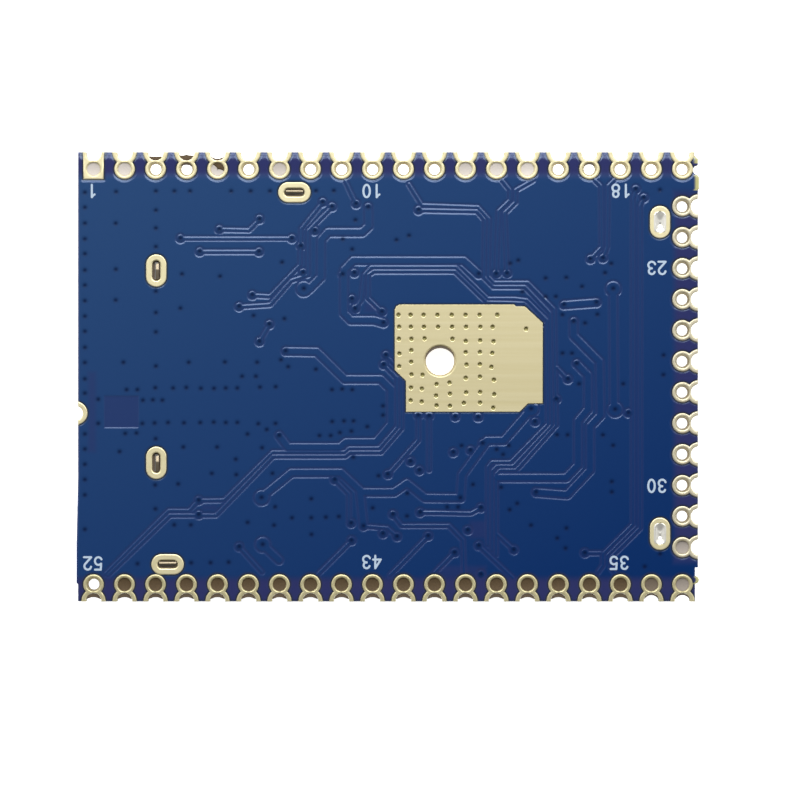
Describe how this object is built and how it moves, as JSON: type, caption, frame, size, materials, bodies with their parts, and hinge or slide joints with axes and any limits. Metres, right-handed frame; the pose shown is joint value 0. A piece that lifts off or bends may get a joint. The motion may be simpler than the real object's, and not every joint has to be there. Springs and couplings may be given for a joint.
{
  "type": "wifi module",
  "caption": "Surface-mount wireless network board with plated half holes along three edges, a heat land, and a tinplate shield over its chips.",
  "frame": {"origin": "under the middle of the board, on the plane that the shield's lid rests on", "axes": "+X along the long edges towards the short row of terminals, +Z out of the soldering face, away from the shield's lid"},
  "size_m": [0.0402, 0.029, 0.0035],
  "materials": {
    "solder_mask": "glossy solder mask on glass-epoxy laminate",
    "gold_finish": "thin gold over nickel on copper",
    "tinplate": "tin-plated steel sheet",
    "solder": "bright solder",
    "chip_moulding": "black epoxy moulding",
    "lead_tin": "tinned leads",
    "crystal_case": "metal lid on ceramic",
    "ferrite": "dark ferrite",
    "filter_ceramic": "white ceramic",
    "capacitor_ceramic": "tan ceramic",
    "resistor_film": "black glazed film",
    "socket_plastic": "pale liquid-crystal polymer"
  },
  "bodies": {
    "root": {"board": "solder_mask", "top_row_pins": "gold_finish", "side_row_pins": "gold_finish", "bottom_row_pins": "gold_finish", "aerial_edge_pin": "gold_finish", "heat_land": "gold_finish", "shield_slots": "gold_finish", "shield_can": "tinplate", "shield_solder": "solder", "main_chip": "chip_moulding", "main_chip_pad": "solder", "memory_chip": "chip_moulding", "flash_chip": "chip_moulding", "flash_leads": "lead_tin", "crystal": "crystal_case", "power_coils": "ferrite", "regulators": "chip_moulding", "radio_chip": "chip_moulding", "radio_filters": "filter_ceramic", "capacitors": "capacitor_ceramic", "resistors": "resistor_film", "aerial_matching": "capacitor_ceramic", "socket_base": "socket_plastic", "socket_ring": "gold_finish", "socket_contact": "gold_finish"}
  },
  "joints": []
}
